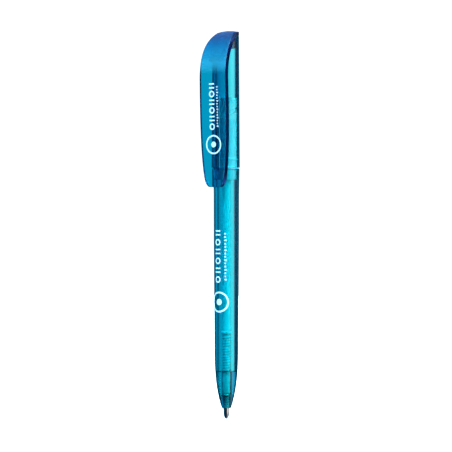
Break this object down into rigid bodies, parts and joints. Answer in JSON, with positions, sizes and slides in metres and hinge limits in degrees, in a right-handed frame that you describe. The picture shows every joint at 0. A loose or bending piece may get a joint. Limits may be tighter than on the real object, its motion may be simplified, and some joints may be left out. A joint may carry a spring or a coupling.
{
  "type": "gel pen",
  "caption": "Twist-action gel pen with a wide clip: turning the upper barrel moves the refill in and out through the nose.",
  "frame": {"origin": "the writing point, at the lowest point of the ball, on the pen's axis, with the point out", "axes": "+Z along the pen's axis from the writing point to the flat top, -Y towards the clip"},
  "size_m": [0.012, 0.0134, 0.142],
  "materials": {
    "barrel_plastic": "tinted transparent, polished",
    "cap_plastic": "tinted transparent, polished",
    "clip_plastic": "tinted transparent, polished",
    "mechanism_plastic": "milky, tinted",
    "plunger_plastic": "white, unpolished",
    "spring_steel": "drawn wire",
    "refill_plastic": "milky translucent",
    "ink": "wet",
    "grease": "clear jelly",
    "holder_plastic": "milky, unpolished",
    "tip_metal": "turned metal",
    "ball_metal": "polished carbide"
  },
  "bodies": {
    "barrel": {"lower_barrel": "barrel_plastic", "mechanism_sleeve": "mechanism_plastic", "return_spring": "spring_steel"},
    "cap": {"upper_barrel": "cap_plastic", "clip_root": "clip_plastic"},
    "clip": {"clip_blade": "clip_plastic"},
    "plunger": {"plunger": "plunger_plastic"},
    "refill": {"refill_tube": "refill_plastic", "gel_ink": "ink", "grease_plug": "grease", "tail_plug": "refill_plastic", "tip_holder": "holder_plastic", "writing_tip": "tip_metal"},
    "ball": {"ball": "ball_metal"}
  },
  "joints": [
    {"name": "cap_twist", "type": "hinge", "parent": "barrel", "child": "cap", "pos_m": [0, 0, 0.0915], "axis": [0, 0, 1], "range_deg": [0, 180]},
    {"name": "clip_flex", "type": "hinge", "parent": "cap", "child": "clip", "pos_m": [0, -0.0081, 0.1297], "axis": [-1, 0, 0], "range_deg": [0, 4], "stiffness_Nm_per_rad": 3},
    {"name": "plunger_slide", "type": "slide", "parent": "cap", "child": "plunger", "axis": [0, 0, 1], "range_m": [0, 0.005]},
    {"name": "refill_slide", "type": "slide", "parent": "barrel", "child": "refill", "axis": [0, 0, 1], "range_m": [0, 0.005], "deforming": ["return_spring"]},
    {"name": "ball_roll", "type": "hinge", "parent": "refill", "child": "ball", "pos_m": [0, 0, 0.00035], "axis": [1, 0, 0], "continuous": true}
  ],
  "couplings": [
    {"joint": "plunger_slide", "follows": "cap_twist", "m_per_rad": 0.0015915},
    {"joint": "refill_slide", "follows": "cap_twist", "m_per_rad": 0.0015915}
  ]
}
